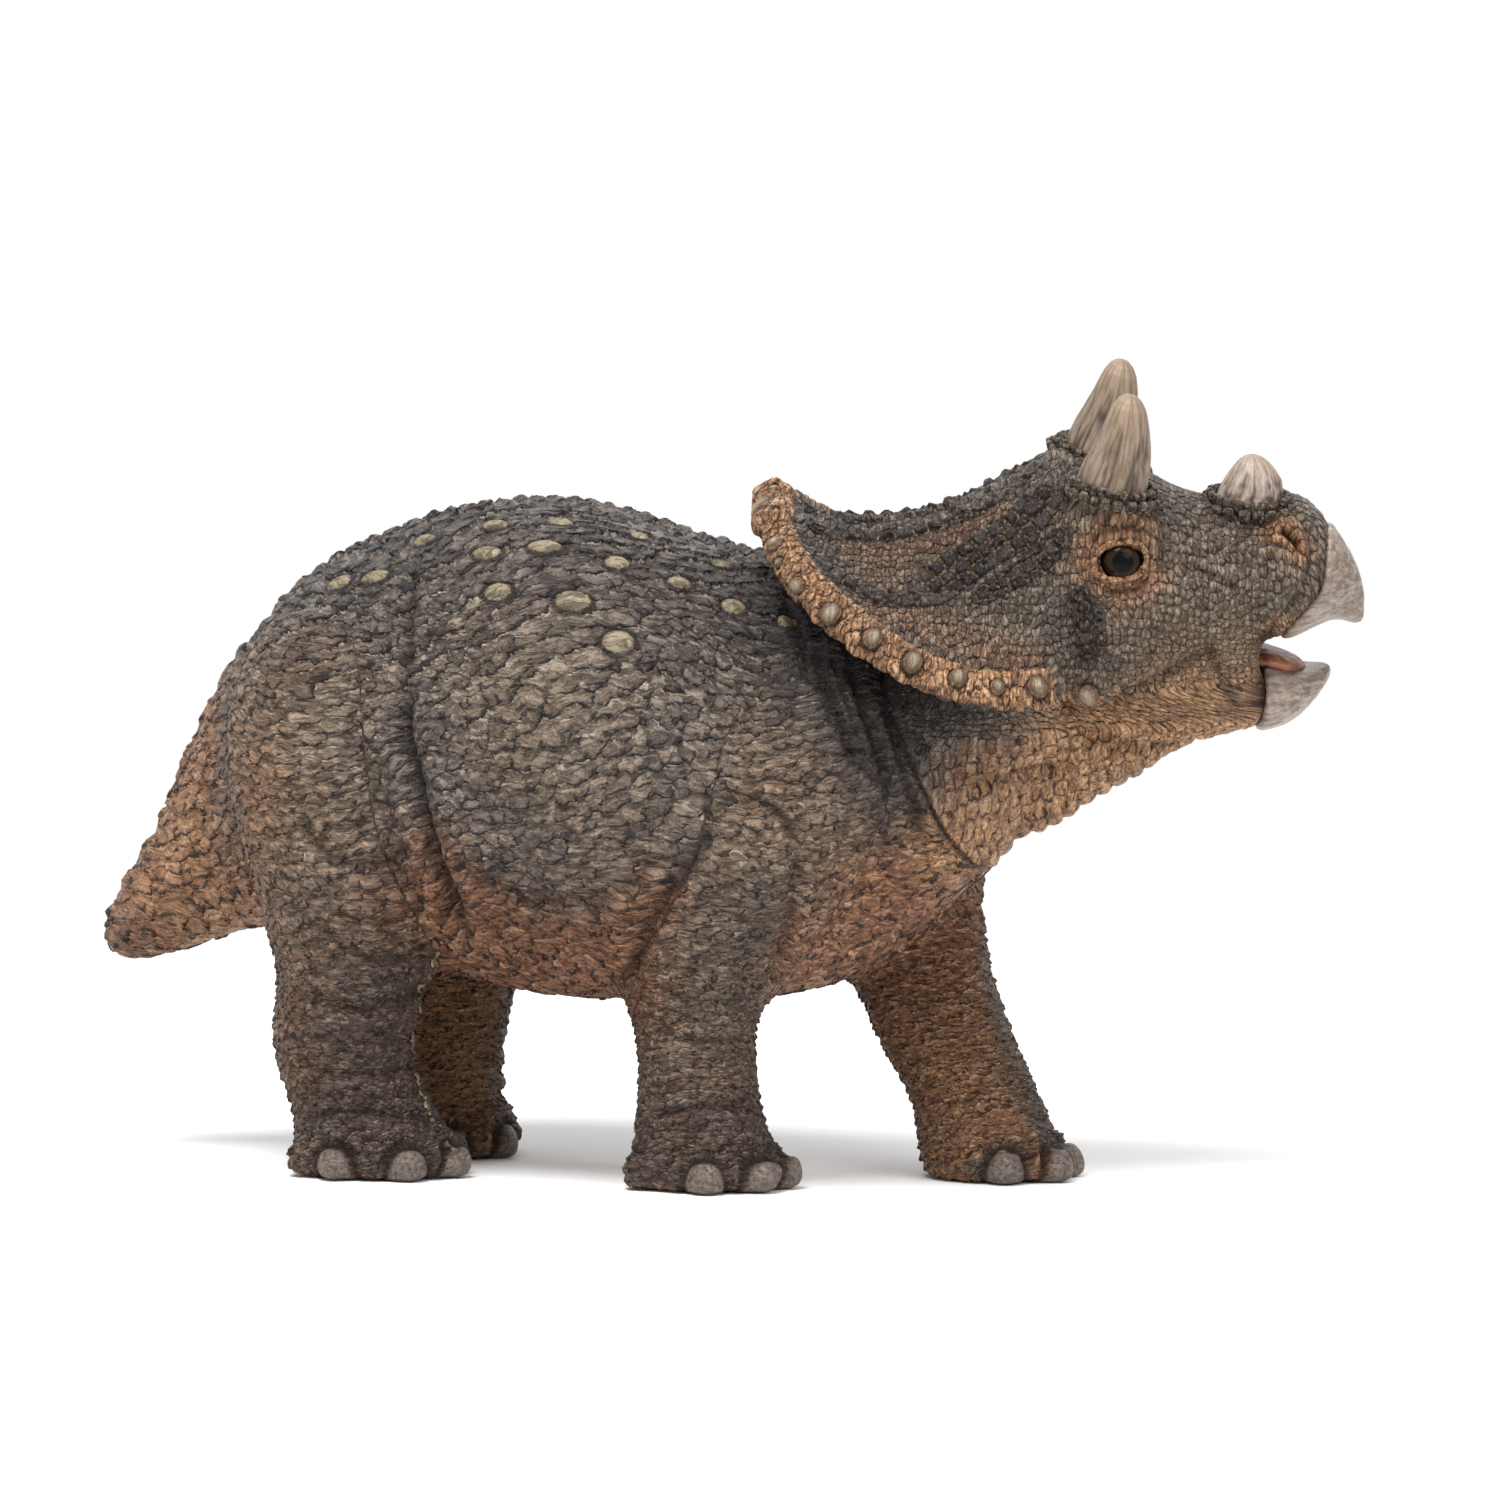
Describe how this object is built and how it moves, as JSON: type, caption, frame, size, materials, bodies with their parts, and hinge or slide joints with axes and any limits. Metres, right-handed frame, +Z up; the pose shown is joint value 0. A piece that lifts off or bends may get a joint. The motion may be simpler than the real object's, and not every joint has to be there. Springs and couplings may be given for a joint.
{
  "type": "toy dinosaur figure",
  "caption": "Moulded toy figure of a young horned dinosaur, standing on all fours with its head raised and turned and its beak open.",
  "frame": {"origin": "middle of the bounding box's underside, which is the plane of the four soles", "axes": "+X towards the head, +Y to the animal's left, +Z up"},
  "size_m": [0.1352, 0.0464, 0.0855],
  "materials": {
    "skin": "hand-painted soft PVC, scaly, dark grey-brown above and orange-brown below",
    "horn": "painted soft PVC, pale grey-pink with brown grooves",
    "beak": "painted soft PVC, pale grey-pink, smoother than the skin",
    "mouth": "painted soft PVC, red-brown",
    "eye": "glossy dark brown paint"
  },
  "bodies": {
    "root": {"body": "skin", "tail": "skin", "head": "skin", "leg_front_left": "skin", "leg_front_right": "skin", "leg_hind_left": "skin", "leg_hind_right": "skin", "upper_beak": "beak", "lower_beak": "beak", "tongue": "mouth", "brow_horn_right": "horn", "brow_horn_left": "horn", "nose_horn": "horn", "eye_right": "eye", "eye_left": "eye"}
  },
  "joints": []
}
